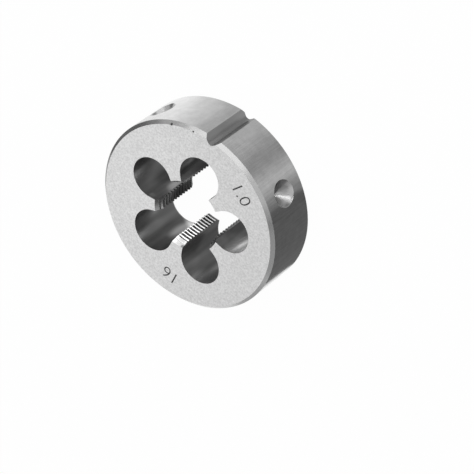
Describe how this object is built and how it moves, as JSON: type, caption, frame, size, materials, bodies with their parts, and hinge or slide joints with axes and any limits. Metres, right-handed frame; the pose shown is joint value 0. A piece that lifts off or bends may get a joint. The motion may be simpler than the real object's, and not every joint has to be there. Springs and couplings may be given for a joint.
{
  "type": "round threading die",
  "caption": "Flat steel disc die that cuts an external screw thread: toothed lands around a bore, round chip holes between them, and a notch and conical seats in the rim.",
  "frame": {"origin": "centre of the back face, on the thread axis, where the die rests", "axes": "+Z along the thread axis towards the front, starting face; +Y towards the notch in the rim"},
  "size_m": [0.045, 0.0449, 0.014],
  "materials": {
    "tool_steel": "fine ground faces and rim, bright chamfers, bare hardened steel"
  },
  "bodies": {
    "root": {"round_die": "tool_steel"}
  },
  "joints": []
}
